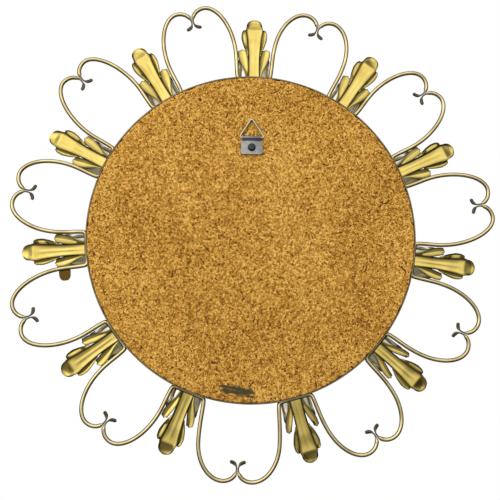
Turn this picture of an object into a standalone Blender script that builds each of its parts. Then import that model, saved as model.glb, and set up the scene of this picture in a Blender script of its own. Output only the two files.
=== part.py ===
"""Round wall mirror in a metal hoop, ringed by scroll brackets, with a leaf in each bracket.

+Z is up, the glass faces -Y and the backing board faces +Y. The origin is the point where the nail bears,
inside the top of the hanger ring. Each bracket and leaf is modelled in a frame of its own, whose X runs
outwards from the middle of the mirror, Y across the bracket and Z towards the wall.
"""
import math

import bmesh
import bpy
from mathutils import Matrix, Vector

# Driving dimensions in metres and degrees

FIT_GAP = 0.0003
ROUND_STEPS = 48

GLASS_THICKNESS = 0.003
BOARD_DIAMETER = 0.3434
BOARD_THICKNESS = 0.006
HOOP_WALL = 0.0012
HOOP_SHOULDER = 0.0025
HOOP_LIP = 0.0045

# Bearings of the brackets about the middle, anticlockwise from the right as the back is seen, as hand-set
BRACKET_BEARINGS = (89.1, 121.2, 152.7, 183.9, 215.9, 248.0, 285.2, 319.2, 352.6, 384.5, 415.9)
# How much longer the heart after each bracket came out by hand
HEART_TRIMS = (0.0008, 0.0052, -0.0021, 0.0023, -0.0006, -0.0040, -0.0016, -0.0001, 0.0037, 0.0011, -0.0041)
ROD_DIAMETER = 0.0044
ROD_SIDES = 6
BRACKET_BASE = 0.0348
CORNER_BEND = 0.0035
HEART_LENGTH = 0.0741
HEART_WIDEST = 0.0400
LEG_SPREAD = 0.0210
LEG_SPREAD_SHARE = 0.54
LOBE_RISE = 0.0090
LOBE_TOP = 0.0146
NECK_WIDTH = 0.0016
NECK_DEPTH = 0.0028
NECK_LENGTH = 0.0010
CURL_RADIUS = 0.0068
CURL_SWEEP = 95.0
PADDLE_WIDTH = 0.0038
PADDLE_DEPTH = 0.0014

LEAF_LENGTH = 0.0710
LEAF_WIDTH = 0.0370
LEAF_RELIEF = 0.0036
LEAF_TIP_CURL = 0.0050
LEAF_SHEET = 0.0010

RING_WIRE = 0.0018
RING_WIDTH = 0.0272
RING_HEIGHT = 0.0214
RING_BEND = 0.0015
RING_PLAY = 0.00035
LOOP_WIDTH = 0.0196
PLATE_WIDTH = 0.0224
PLATE_DROP = 0.0176
PLATE_SHEET = 0.0009
SCREW_DROP = 0.0104
SCREW_DIAMETER = 0.0040
SCREW_LENGTH = 0.0065
SCREW_HEAD = 0.0082
SCREW_HEAD_HEIGHT = 0.0024
SCREW_RECESS_WIDTH = 0.0009
SCREW_RECESS_LENGTH = 0.0044
SCREW_RECESS_DEPTH = 0.0012
SCREW_STEPS = 12
NAIL_BELOW_EDGE = 0.0470

# Sizes that follow from them

WIRE_RADIUS = RING_WIRE / 2
LOOP_RADIUS = WIRE_RADIUS + RING_PLAY + PLATE_SHEET / 2
BAR_STANDOFF = LOOP_RADIUS + PLATE_SHEET / 2 + FIT_GAP
APEX_HALF_ANGLE = math.atan2(RING_WIDTH / 2, RING_HEIGHT)
APEX_REACH = RING_HEIGHT - RING_BEND * (1 / math.sin(APEX_HALF_ANGLE) - 1)
RING_LEAN = math.asin((BAR_STANDOFF - WIRE_RADIUS - FIT_GAP) / APEX_REACH)
NAIL_REACH = APEX_REACH - WIRE_RADIUS
BAR_Y = NAIL_REACH * math.sin(RING_LEAN)
BAR_Z = -NAIL_REACH * math.cos(RING_LEAN)
BACK_Y = BAR_Y - BAR_STANDOFF

BOARD_RADIUS = BOARD_DIAMETER / 2
MIDDLE_Z = NAIL_BELOW_EDGE - BOARD_RADIUS
HOOP_INNER = BOARD_RADIUS + FIT_GAP
HOOP_OUTER = HOOP_INNER + HOOP_WALL
HOOP_DEPTH = BOARD_THICKNESS + GLASS_THICKNESS + 2 * FIT_GAP + HOOP_WALL
BAND_INNER = HOOP_INNER - HOOP_SHOULDER
BAND_OUTER = HOOP_OUTER - HOOP_SHOULDER
GLASS_RADIUS = BAND_INNER - FIT_GAP
ROD_RADIUS = ROD_DIAMETER / 2
ROD_SETBACK = BOARD_THICKNESS + HOOP_WALL + 2 * FIT_GAP + ROD_RADIUS
BASE_RADIUS = BAND_OUTER + FIT_GAP + ROD_RADIUS
LEAF_ROOT = BAND_OUTER + FIT_GAP
LEAF_BACK = ROD_SETBACK + ROD_RADIUS + FIT_GAP
SCREW_HOLE = SCREW_DIAMETER / 2 + FIT_GAP


def clear_scene():
    """Remove what the scene holds."""
    for obj in list(bpy.data.objects):
        bpy.data.objects.remove(obj, do_unlink=True)


def make_collection(name):
    """Make a collection under the scene's own."""
    collection = bpy.data.collections.new(name)
    bpy.context.scene.collection.children.link(collection)
    return collection


def make_material(name, color, roughness, metallic):
    """Make a plain Principled material."""
    material = bpy.data.materials.new(name)
    material.use_nodes = True
    shader = material.node_tree.nodes["Principled BSDF"]
    shader.inputs["Base Color"].default_value = (*color, 1.0)
    shader.inputs["Roughness"].default_value = roughness
    shader.inputs["Metallic"].default_value = metallic
    return material


def add_object(name, mesh, collection, material=None, matrix=None):
    """Link a mesh into a collection as a named object."""
    obj = bpy.data.objects.new(name, mesh)
    collection.objects.link(obj)
    if material is not None and not mesh.materials:
        mesh.materials.append(material)
    if matrix is not None:
        obj.matrix_world = matrix
    return obj


def mesh_from(name, points, faces, smooth=True):
    """Make a mesh from points and faces, with its faces turned outwards."""
    mesh = bpy.data.meshes.new(name)
    mesh.from_pydata([tuple(point) for point in points], [], faces)
    work = bmesh.new()
    work.from_mesh(mesh)
    bmesh.ops.recalc_face_normals(work, faces=work.faces)
    work.to_mesh(mesh)
    work.free()
    if smooth:
        mesh.shade_smooth()
        mesh.set_sharp_from_angle(angle=math.radians(40))
    return mesh


def wallward(x, y, z):
    """Turn the local Z of a turned piece towards the wall and put it at a place."""
    return Matrix.Translation((x, y, z)) @ Matrix.Rotation(math.radians(-90), 4, "X")


def add_disc(name, radius, thickness, front_y, collection, material):
    """Add a round plate whose front face is at front_y, on the mirror's axis."""
    bpy.ops.mesh.primitive_cylinder_add(vertices=ROUND_STEPS, radius=radius, depth=thickness)
    disc = bpy.context.object
    disc.name = name
    disc.data.name = name
    for user in list(disc.users_collection):
        user.objects.unlink(disc)
    collection.objects.link(disc)
    disc.data.materials.append(material)
    disc.matrix_world = wallward(0, front_y + thickness / 2, MIDDLE_Z)
    return disc


def add_turned(name, profile, steps, collection, material, matrix, closed=False):
    """Turn a profile of (radius, height) points, outer side first from the top, about its axis."""
    mesh = bpy.data.meshes.new(name)
    count = len(profile)
    edges = [(i, i + 1) for i in range(count - 1)]
    if closed:
        edges.append((count - 1, 0))
    mesh.from_pydata([(radius, 0, height) for radius, height in profile], edges, [])
    obj = add_object(name, mesh, collection, material, matrix)
    turn = obj.modifiers.new("turn", "SCREW")
    turn.axis = "Z"
    turn.angle = math.radians(360)
    turn.steps = steps
    turn.render_steps = steps
    turn.use_merge_vertices = True
    turn.merge_threshold = 0.00001
    turn.use_smooth_shade = False
    return obj


def add_cut(target, cutter):
    """Cut a hidden cutter out of an object."""
    cutter.hide_render = True
    cutter.display_type = "WIRE"
    cut = target.modifiers.new("cut " + cutter.name, "BOOLEAN")
    cut.operation = "DIFFERENCE"
    cut.solver = "EXACT"
    cut.object = cutter
    return cut


def make_hoop(collection, material):
    """Make the hoop: a wide band round the board, a narrower one round the glass, and a front lip."""
    lip_inner = BAND_INNER - HOOP_LIP
    back = HOOP_DEPTH
    shoulder = back - BOARD_THICKNESS - FIT_GAP
    profile = [
        (HOOP_OUTER, back),
        (HOOP_OUTER, shoulder - HOOP_WALL),
        (BAND_OUTER, shoulder - HOOP_WALL),
        (BAND_OUTER, 0),
        (lip_inner, 0),
        (lip_inner, HOOP_WALL),
        (BAND_INNER, HOOP_WALL),
        (BAND_INNER, shoulder),
        (HOOP_INNER, shoulder),
        (HOOP_INNER, back),
    ]
    place = wallward(0, BACK_Y - HOOP_DEPTH, MIDDLE_Z)
    return add_turned("rim_hoop", profile, ROUND_STEPS, collection, material, place, closed=True)


def make_glass(collection, material):
    """Make the mirror plate, just behind the hoop's lip."""
    front = BACK_Y - BOARD_THICKNESS - FIT_GAP - GLASS_THICKNESS
    return add_disc("mirror_glass", GLASS_RADIUS, GLASS_THICKNESS, front, collection, material)


def make_board(collection, cutters, material):
    """Make the chipboard back, with the screw's pilot hole."""
    front = BACK_Y - BOARD_THICKNESS
    board = add_disc("backing_board", BOARD_RADIUS, BOARD_THICKNESS, front, collection, material)
    pilot = add_peg("pilot_cutter", SCREW_HOLE, 2 * SCREW_LENGTH - 2 * PLATE_SHEET, BACK_Y, cutters)
    add_cut(board, pilot)
    return board


def add_peg(name, radius, length, middle_y, collection):
    """Add a peg on the screw's axis, as a cutter."""
    bpy.ops.mesh.primitive_cylinder_add(vertices=SCREW_STEPS, radius=radius, depth=length)
    peg = bpy.context.object
    peg.name = name
    for user in list(peg.users_collection):
        user.objects.unlink(peg)
    collection.objects.link(peg)
    peg.matrix_world = wallward(0, middle_y, BAR_Z - SCREW_DROP)
    return peg


def arc_points(centre, radius_x, radius_y, start, end, steps):
    """Points on an elliptic arc from one angle to another, both ends included."""
    points = []
    for i in range(steps + 1):
        angle = math.radians(start + (end - start) * i / steps)
        points.append(centre + Vector((radius_x * math.cos(angle), radius_y * math.sin(angle))))
    return points


def bezier_points(ends, handles, steps):
    """Points inside a cubic curve, its two ends left out."""
    points = []
    for i in range(1, steps):
        t = i / steps
        s = 1 - t
        point = ends[0] * s ** 3 + handles[0] * 3 * s * s * t
        points.append(point + handles[1] * 3 * s * t * t + ends[1] * t ** 3)
    return points


def rod_section(lateral):
    """Width and depth of the rod where its middle is that far from the heart's axis, before the neck."""
    width = min(ROD_DIAMETER, max(NECK_WIDTH, 2 * lateral - FIT_GAP))
    drawn = (ROD_DIAMETER - width) / (ROD_DIAMETER - NECK_WIDTH)
    return width, ROD_DIAMETER + (NECK_DEPTH - ROD_DIAMETER) * drawn


def half_heart(half_gap, cusp_radius):
    """Stations of half a bracket: (point, width, depth), from the base's corner to the curl's end.

    Points are in the heart's own frame, X along its axis and Y to the side where the bracket stands.
    """
    full = (ROD_DIAMETER, ROD_DIAMETER)
    half_base = math.atan2(BRACKET_BASE / 2, BASE_RADIUS)
    base_bearing = half_gap - half_base
    corner = Vector((math.cos(base_bearing), math.sin(base_bearing))) * BASE_RADIUS / math.cos(half_base)
    widest = Vector((HOOP_OUTER + HEART_WIDEST, LEG_SPREAD + LEG_SPREAD_SHARE * corner.y))
    along_base = Vector((-math.sin(half_gap), math.cos(half_gap)))
    leg = (widest - corner).normalized()
    bend_start = corner + along_base * CORNER_BEND
    bend_end = corner + leg * CORNER_BEND
    inside = (corner + (bend_start + bend_end) / 2) / 2
    stations = [(point, *full) for point in (bend_start, inside, bend_end)]

    span = (widest - bend_end).length
    handles = (bend_end + leg * span * 0.35, widest - Vector((span * 0.4, 0)))
    stations += [(point, *full) for point in bezier_points((bend_end, widest), handles, 3)]

    lobe_top = cusp_radius + LOBE_RISE
    outer_middle = Vector((widest.x, LOBE_TOP))
    outer = arc_points(outer_middle, lobe_top - widest.x, widest.y - LOBE_TOP, 90, 0, 5)
    stations += [(point, *full) for point in outer]

    neck_side = NECK_WIDTH / 2 + FIT_GAP / 2
    inner_middle = Vector((cusp_radius - LOBE_RISE * 0.4, LOBE_TOP))
    inner = arc_points(inner_middle, lobe_top - inner_middle.x, LOBE_TOP - neck_side, 0, -90, 4)
    stations += [(point, *rod_section(point.y)) for point in inner[1:]]

    curl_middle = Vector((inner_middle.x - NECK_LENGTH, neck_side + CURL_RADIUS))
    curl = arc_points(curl_middle, CURL_RADIUS, CURL_RADIUS, -90, -90 - CURL_SWEEP, 4)
    spread = (0.0, 0.25, 0.95, 1.0, 0.92)
    for point, share in zip(curl, spread):
        width = NECK_WIDTH + (PADDLE_WIDTH - NECK_WIDTH) * share
        depth = NECK_DEPTH + (PADDLE_DEPTH - NECK_DEPTH) * min(1.0, share * 1.2)
        stations.append((point, width, depth))
    return stations


def turned_by(stations, angle, side):
    """Turn a half heart's stations from the heart's frame into the bracket's."""
    turned = []
    for point, width, depth in stations:
        x = point.x * math.cos(angle) + point.y * math.sin(angle)
        y = point.x * math.sin(angle) - point.y * math.cos(angle)
        turned.append((Vector((x, y * side)), width, depth))
    return turned


def make_rod(name, stations):
    """Loft a rod of changing section through stations in the local XY plane."""
    points = []
    count = len(stations)
    for i, (middle, width, depth) in enumerate(stations):
        before = stations[max(i - 1, 0)][0]
        after = stations[min(i + 1, count - 1)][0]
        along = (after - before).normalized()
        across = Vector((-along.y, along.x))
        for side in range(ROD_SIDES):
            angle = 2 * math.pi * side / ROD_SIDES
            flat = middle + across * (math.cos(angle) * width / 2)
            points.append((flat.x, flat.y, math.sin(angle) * depth / 2))
    faces = []
    for i in range(count - 1):
        for side in range(ROD_SIDES):
            following = (side + 1) % ROD_SIDES
            start = i * ROD_SIDES
            end = start + ROD_SIDES
            faces.append((start + side, start + following, end + following, end + side))
    faces.append(tuple(range(ROD_SIDES)))
    faces.append(tuple(range((count - 1) * ROD_SIDES, count * ROD_SIDES)))
    return mesh_from(name, points, faces)


def bracket_matrix(bearing, setback):
    """Place a bracket's frame on the mirror's axis, that far in front of the back face."""
    angle = math.radians(bearing)
    outwards = Vector((-math.cos(angle), 0, math.sin(angle)))
    across = Vector((math.sin(angle), 0, math.cos(angle)))
    wall = Vector((0, 1, 0))
    turn = Matrix((outwards, across, wall)).transposed().to_4x4()
    return Matrix.Translation((0, BACK_Y - setback, MIDDLE_Z)) @ turn


def make_scrolls(collection, material):
    """Make one bracket at each bearing, each leg reaching the middle of the gap on its side."""
    count = len(BRACKET_BEARINGS)
    for i, bearing in enumerate(BRACKET_BEARINGS):
        following = BRACKET_BEARINGS[(i + 1) % count] + (360 if i + 1 == count else 0)
        before = BRACKET_BEARINGS[i - 1] - (360 if i == 0 else 0)
        gap_after = math.radians(following - bearing) / 2
        gap_before = math.radians(bearing - before) / 2
        cusp_after = HOOP_OUTER + HEART_LENGTH + HEART_TRIMS[i]
        cusp_before = HOOP_OUTER + HEART_LENGTH + HEART_TRIMS[i - 1]
        after = turned_by(half_heart(gap_after, cusp_after), gap_after, 1)
        other = turned_by(half_heart(gap_before, cusp_before), gap_before, -1)
        name = "scroll_%02d" % (i + 1)
        mesh = make_rod(name, list(reversed(other)) + after)
        add_object(name, mesh, collection, material, bracket_matrix(bearing, ROD_SETBACK))


# The leaf's outline and creases, as shares of its length and of half its width

TROUGH = (
    (0.00, 0.26), (0.16, 0.28), (0.32, 0.31), (0.46, 0.35), (0.58, 0.40),
    (0.70, 0.45), (0.82, 0.48), (0.93, 0.40), (1.00, 0.17),
)
FLANK_EDGES = {3: 0.48, 4: 0.65, 5: 0.75, 6: 0.63}
LOBE_RIDGES = {0: 0.42, 1: 0.54, 2: 0.70}
LOBE_EDGES = {0: 0.80, 1: 0.86, 2: 0.92}
LOBE_TIP = (0.50, 0.94)
# One leaf has a tab that reaches out under its bracket's leg
TAB_LEAF = 3
TAB_OUTLINE = ((0.29, 1.56), (0.31, 1.73), (0.45, 1.73), (0.47, 1.56))
TROUGH_STEPS = (-1.0, -0.4, 0.4, 1.0)
TROUGH_BED = (0.45, 0.75, 0.95, 1.0, 0.95, 0.85, 0.80, 0.70, 0.60)
TIP_ROWS = {6: 0.12, 7: 0.55, 8: 1.0}


def leaf_point(length_share, width_share, relief_share, tip_share=0.0):
    """A point of the leaf's sheet at a share of its length, half width and relief."""
    lift = LEAF_SHEET / 2 + LEAF_RELIEF * relief_share + LEAF_TIP_CURL * tip_share
    return Vector((LEAF_ROOT + LEAF_LENGTH * length_share, LEAF_WIDTH / 2 * width_share, -lift))


def make_leaf_mesh(with_tab):
    """Make the leaf's sheet: a trough that widens to the tip, two flanks and two splayed lobes."""
    points = []
    faces = []

    def add_point(*shares):
        points.append(leaf_point(*shares))
        return len(points) - 1

    rows = []
    for row, (length_share, half) in enumerate(TROUGH):
        tip = TIP_ROWS.get(row, 0.0)
        bed = TROUGH_BED[row]
        line = []
        for step in TROUGH_STEPS:
            round_off = 0.03 * step * step if row == len(TROUGH) - 1 else 0.0
            relief = bed * (1 - step * step)
            line.append(add_point(length_share - round_off, half * step, relief, tip))
        rows.append(line)
    for row in range(len(rows) - 1):
        for step in range(len(TROUGH_STEPS) - 1):
            corners = (rows[row][step], rows[row][step + 1], rows[row + 1][step + 1], rows[row + 1][step])
            faces.append(corners)

    for side in (-1, 1):
        crease = [line[0 if side < 0 else -1] for line in rows]
        flank = {}
        for row, edge_share in FLANK_EDGES.items():
            length_share, half = TROUGH[row]
            tip = TIP_ROWS.get(row, 0.0)
            middle = (half + edge_share) / 2
            edge = add_point(length_share, edge_share * side, 0.25, tip)
            inner = add_point(length_share, middle * side, 0.60, tip) if row > 3 else None
            flank[row] = (inner, edge)
        faces.append((crease[3], flank[4][0], crease[4]))
        faces.append((crease[3], flank[3][1], flank[4][1], flank[4][0]))
        for row in (4, 5):
            faces.append((crease[row], flank[row][0], flank[row + 1][0], crease[row + 1]))
            faces.append((flank[row][0], flank[row][1], flank[row + 1][1], flank[row + 1][0]))

        lobe = {}
        for row, ridge_share in LOBE_RIDGES.items():
            length_share = TROUGH[row][0]
            ridge = add_point(length_share, ridge_share * side, 0.35 + 0.2 * row)
            edge = add_point(length_share, LOBE_EDGES[row] * side, 0.10)
            lobe[row] = (ridge, edge)
        tip_point = add_point(LOBE_TIP[0], LOBE_TIP[1] * side, 0.35)
        for row in (0, 1):
            faces.append((crease[row], lobe[row][0], lobe[row + 1][0], crease[row + 1]))
            faces.append((lobe[row][0], lobe[row][1], lobe[row + 1][1], lobe[row + 1][0]))
        faces.append((crease[2], lobe[2][0], flank[3][1], crease[3]))
        faces.append((lobe[2][0], tip_point, flank[3][1]))
        faces.append((lobe[2][0], lobe[2][1], tip_point))
        if with_tab and side > 0:
            tab = [add_point(length_share, width_share, 0.35) for length_share, width_share in TAB_OUTLINE]
            faces.append((lobe[2][1], *tab, tip_point))
    return mesh_from("leaf", points, faces)


def make_leaves(collection, material):
    """Make one leaf in front of each bracket's base."""
    plain = make_leaf_mesh(False)
    tabbed = make_leaf_mesh(True)
    for mesh in (plain, tabbed):
        mesh.materials.append(material)
    for i, bearing in enumerate(BRACKET_BEARINGS):
        mesh = tabbed if i == TAB_LEAF else plain
        leaf = add_object("leaf_%02d" % (i + 1), mesh, collection, None, bracket_matrix(bearing, LEAF_BACK))
        sheet = leaf.modifiers.new("sheet", "SOLIDIFY")
        sheet.thickness = LEAF_SHEET
        sheet.offset = 0.0


def make_plate(collection, cutters, material):
    """Make the hanger plate: a strip folded in two round the ring's bar, with a hole for the screw."""
    layer_gap = PLATE_SHEET + FIT_GAP
    under = -LOOP_RADIUS
    over = under + layer_gap
    meet = -math.sqrt(max(LOOP_RADIUS ** 2 - over ** 2, 0)) - PLATE_SHEET
    fold = [(under, -PLATE_DROP), (under, meet - PLATE_SHEET), (under, 0)]
    turns = 8
    last = math.radians(180 - 50)
    for i in range(1, turns + 1):
        angle = math.pi + (last + math.pi / 2) * i / turns
        fold.append((LOOP_RADIUS * math.cos(angle), -LOOP_RADIUS * math.sin(angle)))
    fold += [(over, meet - PLATE_SHEET), (over, -PLATE_DROP)]
    columns = (-PLATE_WIDTH / 2, -LOOP_WIDTH / 2, LOOP_WIDTH / 2, PLATE_WIDTH / 2)
    points = []
    faces = []
    for y, z in fold:
        points += [(x, BAR_Y + y, BAR_Z + z) for x in columns]
    wide = (0, len(fold) - 2)
    for row in range(len(fold) - 1):
        for column in range(3):
            if column == 1 or row in wide:
                start = row * 4 + column
                faces.append((start, start + 1, start + 5, start + 4))
    mesh = bpy.data.meshes.new("hanger_plate")
    mesh.from_pydata(points, [], faces)
    work = bmesh.new()
    work.from_mesh(mesh)
    loose = [vertex for vertex in work.verts if not vertex.link_faces]
    bmesh.ops.delete(work, geom=loose, context="VERTS")
    bmesh.ops.recalc_face_normals(work, faces=work.faces)
    work.to_mesh(mesh)
    work.free()
    plate = add_object("hanger_plate", mesh, collection, material)
    sheet = plate.modifiers.new("sheet", "SOLIDIFY")
    sheet.thickness = PLATE_SHEET
    sheet.offset = 0.0
    sheet.use_even_offset = True
    hole = add_peg("plate_hole_cutter", SCREW_HOLE, 6 * LOOP_RADIUS, BAR_Y, cutters)
    add_cut(plate, hole)
    return plate


def make_screw(collection, cutters, material):
    """Make the pan-head screw, its head just clear of the plate, with a cross recess."""
    seat = BAR_Y - LOOP_RADIUS + PLATE_SHEET / 2 + FIT_GAP + PLATE_SHEET + FIT_GAP
    head = SCREW_HEAD / 2
    shank = SCREW_DIAMETER / 2
    profile = [
        (0, SCREW_HEAD_HEIGHT),
        (head * 0.55, SCREW_HEAD_HEIGHT * 0.93),
        (head * 0.88, SCREW_HEAD_HEIGHT * 0.62),
        (head, 0),
        (shank, 0),
        (shank, -SCREW_LENGTH * 0.7),
        (0, -SCREW_LENGTH),
    ]
    place = wallward(0, seat, BAR_Z - SCREW_DROP)
    screw = add_turned("hanger_screw", profile, SCREW_STEPS, collection, material, place)
    for i, turn in enumerate((45, 135)):
        bpy.ops.mesh.primitive_cube_add(size=1)
        bar = bpy.context.object
        bar.name = "recess_cutter_%d" % i
        for user in list(bar.users_collection):
            user.objects.unlink(bar)
        cutters.objects.link(bar)
        size = Matrix.Diagonal((SCREW_RECESS_LENGTH, SCREW_RECESS_WIDTH, 2 * SCREW_RECESS_DEPTH, 1))
        lift = Matrix.Translation((0, 0, SCREW_HEAD_HEIGHT))
        bar.data.transform(lift @ Matrix.Rotation(math.radians(turn), 4, "Z") @ size)
        bar.matrix_world = place
        add_cut(screw, bar)
    return screw


def ring_path():
    """Points of the triangular ring's centre line, about its bar, with a bend at each corner."""
    corners = (
        Vector((-RING_WIDTH / 2, 0)),
        Vector((RING_WIDTH / 2, 0)),
        Vector((0, RING_HEIGHT)),
    )
    path = []
    for i, corner in enumerate(corners):
        before = (corners[i - 1] - corner).normalized()
        after = (corners[(i + 1) % 3] - corner).normalized()
        half = math.acos(max(-1.0, min(1.0, before.dot(after)))) / 2
        middle = corner + (before + after).normalized() * (RING_BEND / math.sin(half))
        start = corner + before * (RING_BEND / math.tan(half)) - middle
        end = corner + after * (RING_BEND / math.tan(half)) - middle
        sweep = start.angle_signed(end)
        for step in range(4):
            turn = Matrix.Rotation(-sweep * step / 3, 2)
            path.append(middle + turn @ start)
    return path


def make_ring(collection, material):
    """Make the wire ring, which turns about its bar and leans its top against the board."""
    curve = bpy.data.curves.new("hanger_ring", "CURVE")
    curve.dimensions = "3D"
    curve.bevel_depth = WIRE_RADIUS
    curve.bevel_resolution = 1
    curve.use_fill_caps = True
    spline = curve.splines.new("POLY")
    path = ring_path()
    spline.points.add(len(path) - 1)
    for point, (x, z) in zip(spline.points, path):
        point.co = (x, 0, z, 1)
    spline.use_cyclic_u = True
    curve.materials.append(material)
    ring = bpy.data.objects.new("hanger_ring", curve)
    collection.objects.link(ring)
    ring.location = (0, BAR_Y, BAR_Z)
    ring.rotation_euler = (RING_LEAN, 0, 0)
    return ring


def main():
    """Build the mirror."""
    clear_scene()
    parts = make_collection("sunburst_wall_mirror")
    cutters = make_collection("cutters")
    silvered = make_material("silvered_glass", (0.80, 0.82, 0.82), 0.03, 1.0)
    hoop = make_material("hoop_metal", (0.46, 0.37, 0.20), 0.32, 1.0)
    chipboard = make_material("chipboard", (0.53, 0.30, 0.09), 0.75, 0.0)
    rod = make_material("rod_metal", (0.66, 0.57, 0.32), 0.30, 1.0)
    leaf = make_material("leaf_brass", (0.78, 0.62, 0.22), 0.22, 1.0)
    steel = make_material("hanger_steel", (0.42, 0.42, 0.44), 0.40, 1.0)
    wire = make_material("ring_wire", (0.76, 0.70, 0.55), 0.25, 1.0)
    screw = make_material("screw_steel", (0.10, 0.11, 0.11), 0.35, 1.0)
    make_glass(parts, silvered)
    make_hoop(parts, hoop)
    make_board(parts, cutters, chipboard)
    make_scrolls(parts, rod)
    make_leaves(parts, leaf)
    make_plate(parts, cutters, steel)
    make_ring(parts, wire)
    make_screw(parts, cutters, screw)


main()
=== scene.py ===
"""Looks of the sunburst wall mirror, seen from its chipboard back.

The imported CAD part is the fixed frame. Each of its nodes is stood for by one finer piece: turned plates and
a hoop, rods swept along their scroll paths by Geometry Nodes, stamped leaves, and the hanger with its wire
ring. All pieces are made in the record's own frame: +Z is up, the glass faces -Y and the board faces +Y.
"""

import logging
import math
from collections.abc import Callable, Iterable
from dataclasses import dataclass, field
from enum import Enum
from functools import partial, reduce

import bmesh
import bpy
import numpy as np
from mathutils import Matrix, Vector


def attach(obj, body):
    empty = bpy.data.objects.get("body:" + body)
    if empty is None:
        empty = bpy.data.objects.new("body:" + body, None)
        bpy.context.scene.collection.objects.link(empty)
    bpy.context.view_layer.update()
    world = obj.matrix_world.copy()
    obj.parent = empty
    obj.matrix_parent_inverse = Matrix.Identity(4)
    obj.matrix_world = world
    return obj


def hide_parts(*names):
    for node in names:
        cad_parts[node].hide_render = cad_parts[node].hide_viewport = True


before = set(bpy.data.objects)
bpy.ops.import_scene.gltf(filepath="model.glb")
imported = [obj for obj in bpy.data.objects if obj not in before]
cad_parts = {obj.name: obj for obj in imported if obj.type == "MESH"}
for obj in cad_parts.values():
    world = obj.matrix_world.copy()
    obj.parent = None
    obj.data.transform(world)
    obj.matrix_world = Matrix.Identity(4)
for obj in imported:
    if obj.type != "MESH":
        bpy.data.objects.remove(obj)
log = logging.getLogger("mirror")
MM = 0.001
Mesh = bpy.types.Mesh
Object = bpy.types.Object
Material = bpy.types.Material
NodeTree = bpy.types.NodeTree
Socket = bpy.types.NodeSocket


# Sizes of the mirror, in millimetres unless said otherwise

@dataclass(frozen=True)
class Body:
    """Sizes of board, glass and hoop.

    Args:
        board_radius: Radius of the board and the glass.
        board: Thickness of the board.
        glass: Thickness of the glass.
        hoop_wall: Thickness of the hoop's metal.
        shoulder: How far the hoop steps inwards from its wide band to its narrow one.
        hoop_lip: How far the hoop's lip reaches inwards over the glass.
        gap: Clearance between neighbouring pieces.
    """

    board_radius: float = 171.7
    board: float = 6.0
    glass: float = 3.0
    hoop_wall: float = 1.2
    shoulder: float = 2.5
    hoop_lip: float = 4.5
    gap: float = 0.3

    @property
    def hoop_inner(self) -> float:
        """Radius of the hoop's inner side."""
        return self.board_radius + self.gap

    @property
    def hoop_outer(self) -> float:
        """Radius of the hoop's outer side."""
        return self.hoop_inner + self.hoop_wall

    @property
    def band_inner(self) -> float:
        """Inner radius of the hoop's narrow band."""
        return self.hoop_inner - self.shoulder

    @property
    def band_outer(self) -> float:
        """Outer radius of the hoop's narrow band."""
        return self.hoop_outer - self.shoulder

    @property
    def hoop_depth(self) -> float:
        """Depth of the hoop from its lip to its rear edge."""
        return self.board + self.glass + 2 * self.gap + self.hoop_wall


@dataclass(frozen=True)
class Hanger:
    """Sizes of the ring, the plate and the screw.

    Args:
        wire: Diameter of the ring's wire.
        width: Width of the ring's base, between centre lines.
        height: Height of the ring, between centre lines.
        bend: Radius of the ring's bends.
        loop: Radius of the fold's middle surface round the bar.
        plate: Width of the plate.
        neck: Width of the plate at the fold.
        drop: How far the plate hangs below the bar.
        sheet: Thickness of the plate's sheet.
        screw_drop: How far the screw's axis lies below the bar.
        head: Diameter of the screw's head.
        head_height: Height of the screw's head.
        shank: Diameter of the screw's shank.
        length: Length of the screw below its head.
    """

    wire: float = 1.8
    width: float = 27.2
    height: float = 21.4
    bend: float = 1.5
    loop: float = 1.7
    plate: float = 22.4
    neck: float = 19.6
    drop: float = 17.6
    sheet: float = 0.9
    screw_drop: float = 10.4
    head: float = 8.2
    head_height: float = 2.37
    shank: float = 4.0
    length: float = 6.5

    @property
    def reach(self) -> float:
        """Distance from the bar to the rounded top corner, between centre lines."""
        half = math.atan2(self.width / 2, self.height)
        return self.height - self.bend * (1 / math.sin(half) - 1)

    @property
    def lean(self) -> float:
        """Angle by which the ring leans on the board, in radians."""
        return math.asin((self.loop + self.sheet / 2 - self.wire / 2) / self.reach)

    @property
    def bar(self) -> Vector:
        """Place of the ring's bar, with the nail in the ring's top corner at the origin."""
        below = self.reach - self.wire / 2
        return Vector((0, below * math.sin(self.lean), -below * math.cos(self.lean)))


BODY = Body()
HANGER = Hanger()
ROD = 4.4
ROD_SIDES = 20
# Where the board's back lies in Y and the mirror's middle in Z
BACK = HANGER.bar.y - HANGER.loop - HANGER.sheet / 2 - BODY.gap
MIDDLE = -124.7
# Bearings of the brackets in degrees, and how far each heart's cusp stands beyond the usual radius
BEARINGS = (89.1, 121.2, 152.7, 183.9, 215.9, 248.0, 285.2, 319.2, 352.6, 384.5, 415.9)
HEART_TRIMS = (0.8, 5.2, -2.1, 2.3, -0.6, -4.0, -1.6, -0.1, 3.7, 1.1, -4.1)
CUSP = BODY.hoop_outer + 74.1
# How far the rods' middles and the leaves' backs lie in front of the board's back
ROD_SETBACK = BODY.board + BODY.hoop_wall + 2 * BODY.gap + ROD / 2
LEAF_BACK = ROD_SETBACK + ROD / 2 + BODY.gap
# How many faces lie across a leaf's blade and across a lobe, and the blade's column at each side
BLADE_STEPS = 14
LOBE_STEPS = 12
BLADE_EDGE = {-1: 0, 1: BLADE_STEPS}


# Small helpers

def smooth(low: float, high: float, value: float) -> float:
    """Rise from 0 to 1 between two values without a corner."""
    share = min(max((value - low) / (high - low), 0.0), 1.0)
    return share * share * (3 - 2 * share)


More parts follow.
